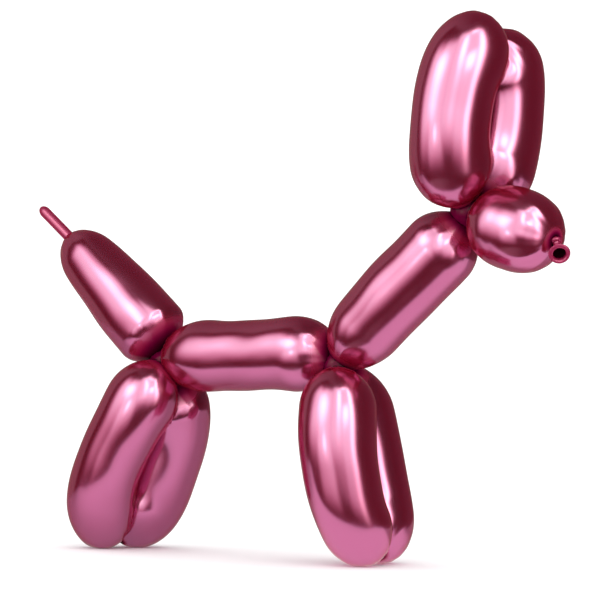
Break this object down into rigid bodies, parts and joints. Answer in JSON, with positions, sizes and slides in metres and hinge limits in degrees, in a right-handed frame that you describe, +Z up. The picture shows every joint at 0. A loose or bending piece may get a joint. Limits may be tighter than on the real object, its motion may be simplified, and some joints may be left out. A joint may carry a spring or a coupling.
{
  "type": "balloon poodle",
  "caption": "Standing dog twisted from a single long metallic latex balloon, with paired ears and legs, a tail and a knotted nose.",
  "frame": {"origin": "on the floor, under the middle of the dog's bounding box", "axes": "+X towards the head, +Y towards the dog's left side, +Z up"},
  "size_m": [0.4076, 0.1016, 0.3514],
  "materials": {
    "metallic_latex": "metallic mauve latex with a soft mirror shine"
  },
  "bodies": {
    "root": {"balloon": "metallic_latex"}
  },
  "joints": []
}
